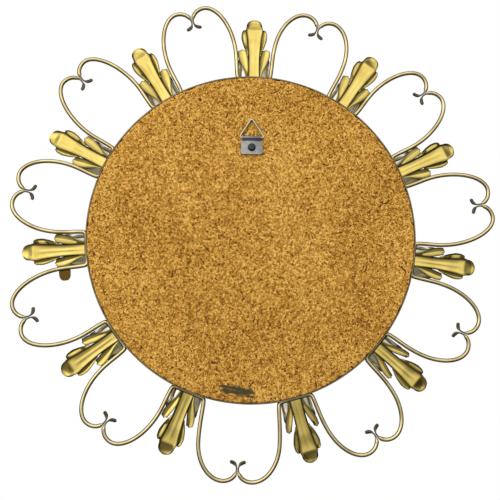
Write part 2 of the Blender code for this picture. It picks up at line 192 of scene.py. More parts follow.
def through(stations: tuple, value: float) -> float:
    """Read a smooth line through (place, size) stations.

    Args:
        stations: Pairs of place and size, in order of place.
        value: Where to read.

    Returns:
        The size there, along a monotone cubic.
    """
    x, y = np.array(stations, float).T
    step = np.diff(x)
    slope = np.diff(y) / step
    before, after = slope[:-1], slope[1:]
    same_way = before * after > 0
    total = np.where(same_way, before + after, 1.0)
    inner = np.where(same_way, 2 * before * after / total, 0.0)
    tangent = np.concatenate((slope[:1], inner, slope[-1:]))
    value = min(max(value, x[0]), x[-1])
    i = min(int(np.searchsorted(x, value, side="right")) - 1, len(x) - 2)
    t = (value - x[i]) / step[i]
    level = (2 * t ** 3 - 3 * t ** 2 + 1) * y[i] + (3 * t ** 2 - 2 * t ** 3) * y[i + 1]
    swing = (t ** 3 - 2 * t ** 2 + t) * tangent[i] + (t ** 3 - t ** 2) * tangent[i + 1]
    return float(level + swing * step[i])


def bracket_matrix(bearing: float, setback: float) -> Matrix:
    """Place a bracket's frame: X outwards, Y across and Z towards the wall, in millimetres.

    Args:
        bearing: Where the bracket stands about the mirror's middle, in degrees.
        setback: How far the frame lies in front of the board's back.

    Returns:
        The matrix.
    """
    angle = math.radians(bearing)
    outwards = Vector((-math.cos(angle), 0, math.sin(angle)))
    across = Vector((math.sin(angle), 0, math.cos(angle)))
    turn = Matrix((outwards, across, Vector((0, 1, 0)))).transposed().to_4x4()
    return Matrix.Translation((0, BACK - setback, MIDDLE)) @ turn


def wallward(x: float, y: float, z: float) -> Matrix:
    """Put a turned piece's frame at a place, its Z towards the wall."""
    return Matrix.Translation((x, y, z)) @ Matrix.Rotation(math.radians(-90), 4, "X")


def add_piece(name: str, mesh: Mesh, material: Material, body: str, node: str) -> None:
    """Link a mesh as the piece that stands for a CAD node.

    Args:
        name: Name of the piece.
        mesh: Its mesh, in metres.
        material: Its material.
        body: CAD body that it rides on.
        node: CAD node that it replaces.
    """
    mesh.name = name
    mesh.materials.clear()
    mesh.materials.append(material)
    obj = bpy.data.objects.new(name, mesh)
    bpy.context.scene.collection.objects.link(obj)
    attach(obj, body)
    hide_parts(node)
    log.info("%s: %d faces, rides on %s", name, len(mesh.polygons), body)


def dress_faces(mesh: Mesh, sharp: float = 50.0, weld: bool = True) -> None:
    """Turn a mesh's faces outwards, shade it smooth and mark its sharp edges.

    Args:
        mesh: The mesh, in metres.
        sharp: Angle above which an edge stays sharp, in degrees.
        weld: Whether points that lie on each other are joined first.
    """
    work = bmesh.new()
    work.from_mesh(mesh)
    if weld:
        bmesh.ops.remove_doubles(work, verts=work.verts, dist=0.001 * MM)
    bmesh.ops.recalc_face_normals(work, faces=work.faces)
    work.to_mesh(mesh)
    work.free()
    mesh.shade_smooth()
    mesh.set_sharp_from_angle(angle=math.radians(sharp))


def to_mesh(name: str, points: list, faces: list, matrix: Matrix | None = None) -> Mesh:
    """Make a smooth mesh in metres from points in millimetres.

    Args:
        name: Name of the mesh.
        points: Points in millimetres.
        faces: Faces as rows of point numbers.
        matrix: Where the points' own frame stands.

    Returns:
        The mesh.
    """
    mesh = bpy.data.meshes.new(name)
    mesh.from_pydata(points, [], faces)
    mesh.transform(Matrix.Scale(MM, 4) @ (matrix or Matrix.Identity(4)))
    dress_faces(mesh, 35.0, weld=False)
    return mesh


def loose_object(mesh: Mesh) -> Object:
    """Link a mesh as a working object.

    Args:
        mesh: The mesh, in metres.

    Returns:
        The object.
    """
    obj = bpy.data.objects.new("working", mesh)
    bpy.context.scene.collection.objects.link(obj)
    return obj


def settled(obj: Object) -> Mesh:
    """Make an object's evaluated mesh a plain one and remove the object.

    Args:
        obj: The object.

    Returns:
        The mesh.
    """
    bpy.context.view_layer.update()
    depsgraph = bpy.context.evaluated_depsgraph_get()
    mesh = bpy.data.meshes.new_from_object(obj.evaluated_get(depsgraph))
    bpy.data.objects.remove(obj, do_unlink=True)
    return mesh


def box_mesh(matrix: Matrix) -> Mesh:
    """Make a box.

    Args:
        matrix: What makes the box of a cube with sides of 1, in millimetres.

    Returns:
        The mesh, in metres.
    """
    mesh = bpy.data.meshes.new("box")
    work = bmesh.new()
    bmesh.ops.create_cube(work, size=1, matrix=Matrix.Scale(MM, 4) @ matrix)
    work.to_mesh(mesh)
    work.free()
    return mesh


def sheet_object(mesh: Mesh, thickness: float, even: bool = False) -> Object:
    """Link a surface as a working object and give it its sheet's thickness on both sides.

    Args:
        mesh: The middle surface, in metres.
        thickness: Thickness of the sheet in millimetres.
        even: Whether the thickness is kept at sharp bends.

    Returns:
        The object.
    """
    obj = loose_object(mesh)
    sheet = obj.modifiers.new("sheet", "SOLIDIFY")
    sheet.thickness = thickness * MM
    sheet.offset = 0.0
    sheet.use_even_offset = even
    return obj


def cut_out(obj: Object, tools: list[Mesh]) -> Mesh:
    """Cut shapes out of a working object.

    Args:
        obj: The object, which is removed.
        tools: Meshes of the shapes.

    Returns:
        The cut mesh.
    """
    cutters = [loose_object(tool) for tool in tools]
    for cutter in cutters:
        cut = obj.modifiers.new("cut", "BOOLEAN")
        cut.operation = "DIFFERENCE"
        cut.solver = "EXACT"
        cut.object = cutter
    mesh = settled(obj)
    for cutter in cutters:
        bpy.data.objects.remove(cutter, do_unlink=True)
    return mesh


def turned(
    name: str, profile: list, steps: int, matrix: Matrix, closed: bool = False, wobble: Callable | None = None
) -> Mesh:
    """Turn a profile of (radius, height) points about Z.

    Args:
        name: Name of the mesh.
        profile: Points in millimetres, outer side first from the top.
        steps: How many steps make the round.
        matrix: Where the turned piece's own frame stands.
        closed: Whether the profile is a closed loop; an open one starts and ends on the axis.
        wobble: Function of (radius, height, angle) that gives a changed (radius, height).

    Returns:
        The mesh.
    """
    points, faces, rows = [], [], []
    for radius, height in profile:
        if radius == 0:
            rows.append([len(points)] * steps)
            points.append((0, 0, height))
            continue
        rows.append(list(range(len(points), len(points) + steps)))
        for k in range(steps):
            angle = 2 * math.pi * k / steps
            r, h = wobble(radius, height, angle) if wobble else (radius, height)
            points.append((r * math.cos(angle), r * math.sin(angle), h))
    spans = list(zip(rows, rows[1:])) + ([(rows[-1], rows[0])] if closed else [])
    for upper, lower in spans:
        for k in range(steps):
            m = (k + 1) % steps
            corners = [upper[k], lower[k], lower[m], upper[m]]
            face = [c for j, c in enumerate(corners) if c != corners[j - 1]]
            if len(face) > 2:
                faces.append(face)
    return to_mesh(name, points, faces, matrix)


# Materials

class Shade:
    """A small helper that adds nodes to a tree and links them.

    Args:
        tree: The node tree.
        prefix: What the types of its nodes start with.
    """

    def __init__(self, tree: NodeTree, prefix: str = "ShaderNode") -> None:
        """Keep the tree and the prefix."""
        self.tree = tree
        self.prefix = prefix

    def put(self, socket: Socket, value: object) -> None:
        """Give an input its value.

        Args:
            socket: The input.
            value: Another socket, a number, a vector, a name or a colour.
        """
        if isinstance(value, Socket):
            self.tree.links.new(value, socket)
        elif socket.type == "RGBA":
            socket.default_value = (*value, 1.0)
        else:
            socket.default_value = value

    def add(self, kind: str, inputs: dict | None = None, **settings: object) -> bpy.types.Node:
        """Add a node.

        Args:
            kind: Its type, without the prefix.
            inputs: Sockets or values by input name or number.
            **settings: Attributes of the node.

        Returns:
            The node.
        """
        node = self.tree.nodes.new(self.prefix + kind)
        for key, value in settings.items():
            setattr(node, key, value)
        for key, value in (inputs or {}).items():
            self.put(node.inputs[key], value)
        return node

    def math(self, operation: str, *values: object, clamp: bool = False) -> Socket:
        """Add a math node and return its output."""
        return self.add("Math", dict(enumerate(values)), operation=operation, use_clamp=clamp).outputs[0]

    def vector(self, operation: str, first: object, second: object) -> Socket:
        """Add a vector math node and return its output."""
        return self.add("VectorMath", {0: first, 1: second}, operation=operation).outputs[0]

    def turn(self, vector: Socket, angle: object) -> Socket:
        """Turn a vector about Y, in the board's plane, and return it."""
        inputs = {"Vector": vector, "Axis": (0.0, 1.0, 0.0), "Angle": angle}
        return self.add("VectorRotate", inputs).outputs[0]

    def parts(self, vector: Socket) -> bpy.types.NodeOutputs:
        """Split a vector into its three outputs."""
        return self.add("SeparateXYZ", {"Vector": vector}).outputs

    def noise(self, vector: Socket, scale: object, detail: float, roughness: float = 0.5) -> Socket:
        """Add a noise and return its level."""
        inputs = {"Vector": vector, "Scale": scale, "Detail": detail, "Roughness": roughness}
        return self.add("TexNoise", inputs).outputs["Fac"]

    def cells(self, vector: Socket, scale: object) -> tuple[Socket, bpy.types.NodeOutputs]:
        """Add a pattern of cells and return each cell's place and its three random levels."""
        cell = self.add("TexVoronoi", {"Vector": vector, "Scale": scale, "Randomness": 1.0}).outputs
        return cell["Position"], self.add("SeparateColor", {"Color": cell["Color"]}).outputs

    def ramp(self, factor: Socket, *stops: tuple) -> Socket:
        """Add a colour ramp.

        Args:
            factor: Where it is read.
            *stops: Pairs of place and colour.

        Returns:
            Its colour.
        """
        node = self.add("ValToRGB", {"Fac": factor})
        elements = node.color_ramp.elements
        while len(elements) < len(stops):
            elements.new(0.5)
        for element, (place, color) in zip(elements, stops):
            element.position = place
            element.color = (*color, 1.0)
        return node.outputs["Color"]

    def span(
        self, value: Socket, low: float, high: float, out_low: float = 0.0, out_high: float = 1.0
    ) -> Socket:
        """Map a value from one span to another, clamped, and return it."""
        inputs = {"Value": value, "From Min": low, "From Max": high, "To Min": out_low, "To Max": out_high}
        return self.add("MapRange", inputs).outputs["Result"]

    def mix(self, factor: object, first: object, second: object, blend: str = "MIX") -> Socket:
        """Mix two colours and return the result."""
        inputs = {0: factor, 6: first, 7: second}
        return self.add("Mix", inputs, data_type="RGBA", blend_type=blend).outputs[2]


def new_group(name: str, inputs: tuple, outputs: tuple) -> tuple:
    """Make a shader node group with its interface.

    Args:
        name: Name of the group.
        inputs: Triples of name, socket type and default value.
        outputs: Pairs of name and socket type.

    Returns:
        The group, its helper, the input node's sockets and the output node's sockets.
    """
    group = bpy.data.node_groups.new(name, "ShaderNodeTree")
    for label, kind, default in inputs:
        socket = group.interface.new_socket(label, in_out="INPUT", socket_type=kind)
        if default is not None:
            socket.default_value = default
    for label, kind in outputs:
        group.interface.new_socket(label, in_out="OUTPUT", socket_type=kind)
    source, sink = group.nodes.new("NodeGroupInput"), group.nodes.new("NodeGroupOutput")
    return group, Shade(group), source.outputs, sink.inputs


def make_wear_group() -> NodeTree:
    """Make the wear that all metals share: soft stains, fine scratches and a bump.

    Returns:
        The group.
    """
    group, shade, source, sink = new_group(
        "metal_wear",
        (("Stain Size", "NodeSocketFloat", 60.0), ("Bump", "NodeSocketFloat", 0.1)),
        (("Stain", "NodeSocketFloat"), ("Roughen", "NodeSocketFloat"), ("Normal", "NodeSocketVector")),
    )
    place = shade.add("TexCoord").outputs["Object"]
    stain = shade.noise(place, source["Stain Size"], 3.0)
    fine = shade.noise(place, 900.0, 2.0)
    bump = shade.add("Bump", {"Height": fine, "Strength": source["Bump"], "Distance": 0.1 * MM})
    shade.put(sink["Stain"], shade.span(stain, 0.35, 0.68))
    shade.put(sink["Roughen"], shade.span(fine, 0.3, 0.7, -0.03, 0.04))
    shade.put(sink["Normal"], bump.outputs["Normal"])
    return group


def plain_material(name: str) -> tuple[Material, Shade, bpy.types.Node]:
    """Make a material with a Principled shader.

    Args:
        name: Name of the material.

    Returns:
        The material, the helper of its tree and its shader.
    """
    material = bpy.data.materials.new(name)
    material.use_nodes = True
    shader = material.node_tree.nodes["Principled BSDF"]
    return material, Shade(material.node_tree), shader


@dataclass(frozen=True)
class Metal:
    """A metal's finish.

    Args:
        name: Name of the material.
        light: Colour where it is clean.
        dark: Colour where it is stained.
        edge: Painted shade that a face takes on as it turns away from the camera.
        roughness: Its roughness.
        bump: Strength of its fine bump.
        edge_share: How strongly that painted shade shows.
        paints: Pairs of a point attribute and the colour that it lays on, in order.
    """

    name: str
    light: tuple
    dark: tuple
    edge: tuple
    roughness: float
    bump: float = 0.1
    edge_share: float = 0.8
    paints: tuple = ()

    def build(self, wear: NodeTree) -> Material:
        """Make the material.

        Args:
            wear: The shared wear group.

        Returns:
            The material.
        """
        material, shade, shader = plain_material(self.name)
        group = shade.add("Group", node_tree=wear)
        shade.put(group.inputs["Bump"], self.bump)
        color = shade.mix(group.outputs["Stain"], self.light, self.dark)
        # Painted shade: faces that turn away from the camera are darkened towards the edge colour, giving
        # rods and leaves their dark sides and outlines
        facing = shade.add("LayerWeight", {"Blend": 0.35}).outputs["Facing"]
        glancing_shade = shade.math("MULTIPLY", shade.span(facing, 0.12, 0.50), self.edge_share)
        color = shade.mix(glancing_shade, color, self.edge)
        for label, paint in self.paints:
            color = shade.mix(shade.add("Attribute", attribute_name=label).outputs["Fac"], color, paint)
        shade.put(shader.inputs["Base Color"], color)
        shade.put(shader.inputs["Metallic"], 1.0)
        rough = shade.math("ADD", group.outputs["Roughen"], self.roughness, clamp=True)
        shade.put(shader.inputs["Roughness"], rough)
        shade.put(shader.inputs["Normal"], group.outputs["Normal"])
        return material


# Painted shade: the dark colour laid on the tab, which stands for a lower lobe's tip lying in shade beyond
# the leg
PAINTED_TAB_SHADE = ("tab_shade", (0.125, 0.072, 0.014))
# Painted reflection: a pale grey laid over the leaves' flaps, standing for the white surroundings that they
# mirror
PAINTED_FLAP_REFLECTION = ("flap_reflection", (0.66, 0.64, 0.58))
# Painted shade: near-black laid where a piece's dark attribute says, on the leaves' creases, folds and
# outlines and on the rods' necks and curls
PAINTED_SHADE = ("dark", (0.050, 0.042, 0.026))


class Finish(Enum):
    """The metals of the mirror."""

    # Each edge colour below is painted shade on the faces that turn away from the camera
    ROD = Metal(
        "rod_champagne", light=(0.80, 0.67, 0.34), dark=(0.55, 0.42, 0.18), edge=(0.035, 0.025, 0.012),
        roughness=0.20, bump=0.03, edge_share=0.97, paints=(PAINTED_SHADE,),
    )
    LEAF = Metal(
        "leaf_gilt", light=(0.67, 0.52, 0.15), dark=(0.55, 0.41, 0.10), edge=(0.13, 0.09, 0.015),
        roughness=0.15, bump=0.015, paints=(PAINTED_TAB_SHADE, PAINTED_FLAP_REFLECTION, PAINTED_SHADE),
    )
    HOOP = Metal(
        "hoop_bronze", light=(0.30, 0.24, 0.14), dark=(0.16, 0.12, 0.07), edge=(0.05, 0.04, 0.03),
        roughness=0.32,
    )
    PLATE = Metal(
        "plate_steel", light=(0.42, 0.415, 0.405), dark=(0.21, 0.21, 0.20), edge=(0.16, 0.16, 0.15),
        roughness=0.38, bump=0.2,
    )
    WIRE = Metal(
        "ring_nickel", light=(0.82, 0.76, 0.60), dark=(0.62, 0.54, 0.38), edge=(0.14, 0.12, 0.08),
        roughness=0.20,
    )
    SCREW = Metal(
        "screw_black", light=(0.10, 0.11, 0.11), dark=(0.05, 0.05, 0.05), edge=(0.02, 0.02, 0.02),
        roughness=0.35,
    )


def make_glass_material() -> Material:
    """Make the silvered glass.

    Returns:
        The material.
    """
    material, shade, shader = plain_material("silvered_glass")
    shade.put(shader.inputs["Base Color"], (0.86, 0.88, 0.88))
    shade.put(shader.inputs["Metallic"], 1.0)
    shade.put(shader.inputs["Roughness"], 0.02)
    return material


def make_chip_group() -> NodeTree:
    """Make a mask of thin chips, each lying its own way in its own cell.

    Returns:
        The group.
    """
    labels = ("Cells", "Width", "Length", "Share")
    group, shade, source, sink = new_group(
        "chips",
        (*((label, "NodeSocketFloat", None) for label in labels), ("Shift", "NodeSocketVector", None)),
        (("Mask", "NodeSocketFloat"),),
    )
    moved = shade.vector("ADD", shade.add("TexCoord").outputs["Object"], source["Shift"])
    flat = shade.vector("MULTIPLY", moved, (1.0, 0.0, 1.0))
    middle, luck = shade.cells(flat, source["Cells"])
    away = shade.vector("SUBTRACT", flat, middle)
    axes = shade.parts(shade.turn(away, shade.math("MULTIPLY", luck[0], math.pi)))
    wide = shade.math("DIVIDE", axes[0], source["Width"])
    long = shade.math("DIVIDE", axes[2], source["Length"])
    reach = shade.math("ADD", shade.math("MULTIPLY", wide, wide), shade.math("MULTIPLY", long, long))
    inside = shade.span(shade.math("DIVIDE", reach, shade.math("ADD", 0.6, luck[2])), 0.6, 1.3, 1.0, 0.0)
    chosen = shade.math("LESS_THAN", luck[1], source["Share"])
    shade.put(sink["Mask"], shade.math("MULTIPLY", inside, chosen))
    return group


@dataclass(frozen=True)
class Chips:
    """One layer of chips in the board.

    Args:
        cells: How many cells lie in a metre, each with room for one chip.
        width: Half width of a chip in millimetres.
        length: Half length of a chip in millimetres.
        share: Share of the cells that hold a chip.
        shift: Shift of the pattern in metres, which sets the layers apart.
    """

    cells: float
    width: float
    length: float
    share: float
    shift: float

    def mask(self, shade: Shade, group: NodeTree) -> Socket:
        """Add the layer to a tree.

        Args:
            shade: The helper of the tree.
            group: The group of chips.

        Returns:
            The layer's mask.
        """
        sizes = {"Cells": self.cells, "Width": self.width * MM, "Length": self.length * MM}
        sizes |= {"Share": self.share, "Shift": (self.shift, 0.0, self.shift * 0.37)}
        return shade.add("Group", sizes, node_tree=group).outputs["Mask"]


# Each layer as cells, width, length, share and shift
PALE_CHIPS = (Chips(120.0, 0.5, 1.7, 0.35, 0.31), Chips(30.0, 0.7, 4.5, 0.35, 0.77))
DARK_CHIPS = (
    Chips(260.0, 0.45, 0.7, 0.42, 0.0), Chips(34.0, 0.7, 3.4, 0.22, 1.3), Chips(85.0, 0.8, 1.2, 0.30, 2.1),
)


def make_chipboard_material() -> Material:
    """Make the chipboard: short pressed fibres with dark specks, slivers and one stain near its lower edge.

    Returns:
        The material.
    """
    material, shade, shader = plain_material("chipboard_back")
    group = make_chip_group()
    place = shade.add("TexCoord").outputs["Object"]
    _, luck = shade.cells(place, 430.0)
    laid = shade.turn(place, shade.math("MULTIPLY", luck[0], math.pi))
    fibre = shade.noise(shade.vector("MULTIPLY", laid, (1.0, 1.0, 0.28)), 1250.0, 2.0, 0.6)
    tone = fibre
    for level, strength in ((luck[1], 0.22), (shade.noise(place, 11.0, 3.0), 0.20)):
        change = shade.math("MULTIPLY", shade.math("SUBTRACT", level, 0.5), strength)
        tone = shade.math("ADD", tone, change)
    color = shade.ramp(
        tone,
        (0.28, (0.090, 0.030, 0.004)),
        (0.42, (0.300, 0.130, 0.016)),
        (0.54, (0.500, 0.250, 0.036)),
        (0.72, (0.800, 0.490, 0.125)),
    )
    pale, dark = (
        reduce(partial(shade.math, "MAXIMUM"), [chips.mask(shade, group) for chips in layers])
        for layers in (PALE_CHIPS, DARK_CHIPS)
    )
    color = shade.mix(shade.math("MULTIPLY", pale, 0.62), color, (0.70, 0.43, 0.11))
    color = shade.mix(shade.math("MULTIPLY", dark, 0.92), color, (0.055, 0.018, 0.006))
    color = shade.mix(make_stain(shade, place), color, (0.040, 0.042, 0.022))
    height = shade.math("SUBTRACT", tone, shade.math("MULTIPLY", dark, 0.5))
    bump = shade.add("Bump", {"Height": height, "Strength": 0.45, "Distance": 0.5 * MM})
    shade.put(shader.inputs["Base Color"], color)
    shade.put(shader.inputs["Roughness"], 0.75)
    shade.put(shader.inputs["Specular IOR Level"], 0.12)
    shade.put(shader.inputs["Normal"], bump.outputs["Normal"])
    return material


def make_stain(shade: Shade, place: Socket) -> Socket:
    """Mask the dark, torn remains of a stuck label, near the board's lower edge.

    Args:
        shade: The helper of the board's tree.
        place: Place on the board, in metres.

    Returns:
        The mask.
    """
    middle = (0.0163, 0.0, (MIDDLE - 159.0) * MM)
    laid = shade.turn(shade.vector("SUBTRACT", place, middle), 0.146)
    axes = shade.parts(laid)
    torn = shade.noise(shade.vector("MULTIPLY", laid, (0.16, 1.0, 1.0)), 480.0, 4.0)
    edge = shade.math("MULTIPLY", torn, 4.2)
    for axis, half, power in ((axes[0], 20.5 * MM, 4.0), (axes[2], 5.8 * MM, 2.0)):
        share = shade.math("ABSOLUTE", shade.math("DIVIDE", axis, half))
        edge = shade.math("ADD", edge, shade.math("POWER", share, power))
    return shade.span(edge, 2.35, 3.0, 0.95, 0.0)


# Sub-assemblies

@dataclass
class Plates:
    """Board, glass and hoop.

    Args:
        body: Their sizes.
        seed: Seed of the board's chipped edge.
        chip: How deep the largest chips are in the radius, in millimetres.
    """

    body: Body = BODY
    seed: int = 7
    chip: float = 0.75

    def chipped(self, radius: float, height: float, angle: float) -> tuple[float, float]:
        """Chip the board's rear edge a little, never beyond its true radius.

        Args:
            radius: Radius of a point of the board.
            height: Its height over the board's middle.
            angle: Its angle in radians.

        Returns:
            Its changed radius and height.
        """
        if radius < self.body.board_radius - 2.5 or height < self.body.board / 2 - 1.6:
            return radius, height
        waves = ((23, 0.5), (57, 0.3), (91, 0.28), (143, 0.2))
        level = sum(math.sin(angle * n + self.seed * n * 1.7) * weight for n, weight in waves)
        chip = self.chip * max(0.0, level) ** 1.5
        return radius - chip, height - chip / 3

    def build(self, finishes: dict) -> None:
        """Build the three pieces.

        Args:
            finishes: Materials by name.
        """
        b = self.body
        half, rim = b.board / 2, b.board_radius
        profile = [(r, half) for r in (0, 60, 120, 160, rim - 2.4, rim - 0.9)]
        profile += [(rim - 0.3, half - 0.25), (rim, half - 0.9), (rim, -half), (0, -half)]
        mesh = turned("backing_board", profile, 480, wallward(0, BACK - half, MIDDLE), wobble=self.chipped)
        add_piece("board", mesh, finishes["chipboard"], "mirror", "backing_board")

        edge, rim = 0.4, b.band_inner - b.gap
        profile = [(0, b.glass), (rim - edge, b.glass), (rim, b.glass - edge)]
        profile += [(rim, edge), (rim - edge, 0), (0, 0)]
        front = BACK - b.board - b.gap - b.glass
        mesh = turned("mirror_glass", profile, 240, wallward(0, front, MIDDLE))
        add_piece("glass", mesh, finishes["glass"], "mirror", "mirror_glass")

        lip = b.band_inner - b.hoop_lip
        wall, depth = b.hoop_wall, b.hoop_depth
        step = depth - b.board - b.gap
        under = step - wall
        profile = [
            (b.hoop_outer - 0.35, depth), (b.hoop_outer, depth - 0.35), (b.hoop_outer, under + 0.5),
            (b.hoop_outer - 0.15, under + 0.12), (b.hoop_outer - 0.5, under), (b.band_outer, under),
            (b.band_outer, 0.9), (b.band_outer - 0.3, 0.25), (b.band_outer - 0.9, 0), (lip + 0.5, 0),
            (lip, 0.4), (lip, wall - 0.3), (lip + 0.3, wall), (b.band_inner, wall), (b.band_inner, step),
            (b.hoop_inner, step), (b.hoop_inner, depth),
        ]
        mesh = turned("rim_hoop", profile, 300, wallward(0, BACK - depth, MIDDLE), closed=True)
        add_piece("hoop", mesh, finishes["HOOP"], "mirror", "rim_hoop")


def make_sweep_tree() -> NodeTree:
    """Make the node tree that sweeps a round section, flattened by station, along a line of points.

    Returns:
        The tree.
    """
    tree = bpy.data.node_groups.new("sweep_rod", "GeometryNodeTree")
    for label, way, kind in (
        ("Stations", "INPUT", "NodeSocketGeometry"),
        ("Sides", "INPUT", "NodeSocketInt"),
        ("Finish", "INPUT", "NodeSocketMaterial"),
        ("Rod", "OUTPUT", "NodeSocketGeometry"),
    ):
        tree.interface.new_socket(label, in_out=way, socket_type=kind)
    geo, maths = Shade(tree, "GeometryNode"), Shade(tree)
    source, sink = tree.nodes.new("NodeGroupInput").outputs, tree.nodes.new("NodeGroupOutput").inputs
    width, flat = (
        geo.add("InputNamedAttribute", {"Name": label}, data_type="FLOAT").outputs["Attribute"]
        for label in ("width", "flat")
    )
    line = geo.add("MeshToCurve", {"Mesh": source["Stations"]}).outputs["Curve"]
    line = geo.add("SetCurveRadius", {"Curve": line, "Radius": width}).outputs["Curve"]
    circle = geo.add("CurvePrimitiveCircle", {"Resolution": source["Sides"], "Radius": 0.5}).outputs["Curve"]
    sweep = {"Curve": line, "Profile Curve": circle, "Scale": width, "Fill Caps": True}
    rod = geo.add("CurveToMesh", sweep).outputs["Mesh"]
    parts = maths.parts(geo.add("InputPosition").outputs["Position"])
    squeezed = {"X": parts["X"], "Y": parts["Y"], "Z": maths.math("MULTIPLY", parts["Z"], flat)}
    place = maths.add("CombineXYZ", squeezed).outputs["Vector"]
    rod = geo.add("SetPosition", {"Geometry": rod, "Position": place}).outputs["Geometry"]
    rod = geo.add("SetShadeSmooth", {"Geometry": rod}).outputs["Geometry"]
    rod = geo.add("RealizeInstances", {"Geometry": rod}).outputs["Geometry"]
    rod = geo.add("SetMaterial", {"Geometry": rod, "Material": source["Finish"]}).outputs["Geometry"]
    tree.links.new(rod, sink["Rod"])
    return tree


def swept(
    name: str, stations: list, tree: NodeTree, material: Material, place: Matrix, closed: bool = False
) -> Mesh:
    """Sweep a rod along stations of (point, width, depth, darkness), in millimetres.

    Args:
        name: Name of the mesh.
        stations: The stations, in the XY plane.
        tree: The sweeping node tree.
        material: The rod's material.
        place: Where the stations' own frame stands, in millimetres.
        closed: Whether the path is a loop.

    Returns:
        The plain mesh, in metres.
    """
    line = bpy.data.meshes.new(name)
    count = len(stations)
    edges = [(i, i + 1) for i in range(count - 1)] + ([(count - 1, 0)] if closed else [])
    points, widths, depths, darks = zip(*stations)
    line.from_pydata([tuple(point) for point in points], edges, [])
    flats = [depth / width for depth, width in zip(depths, widths)]
    for label, values in (("width", widths), ("flat", flats), ("dark", darks)):
        line.attributes.new(label, "FLOAT", "POINT").data.foreach_set("value", values)
    obj = loose_object(line)
    modifier = obj.modifiers.new("sweep", "NODES")
    modifier.node_group = tree
    wanted = {"Sides": ROD_SIDES, "Finish": material}
    for item in tree.interface.items_tree:
        if item.item_type == "SOCKET" and item.in_out == "INPUT" and item.name in wanted:
            modifier[item.identifier] = wanted[item.name]
    mesh = settled(obj)
    mesh.transform(Matrix.Scale(MM, 4) @ place)
    dress_faces(mesh)
    return mesh


